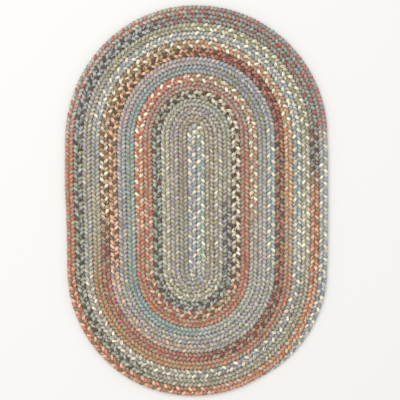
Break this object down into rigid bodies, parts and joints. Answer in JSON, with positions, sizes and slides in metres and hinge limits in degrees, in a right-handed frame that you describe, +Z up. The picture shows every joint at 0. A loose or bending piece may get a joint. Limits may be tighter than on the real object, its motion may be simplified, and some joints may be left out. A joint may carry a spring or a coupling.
{
  "type": "braided rug",
  "caption": "Oval braided rug: one flat three-strand braid of multicoloured yarn, wound in a spiral around a straight middle and laced edge to edge, lying flat on the floor.",
  "frame": {"origin": "middle of the rug's outline, on the floor", "axes": "+Z up out of the floor, +Y along the rug's length away from the tail, +X across it towards the side that the tail comes down"},
  "size_m": [0.6116, 0.9076, 0.011],
  "materials": {
    "braid_yarn": "matte space-dyed yarn in greys, sages, tans, creams and rust reds, braided"
  },
  "bodies": {
    "root": {"oval_braid": "braid_yarn"}
  },
  "joints": []
}
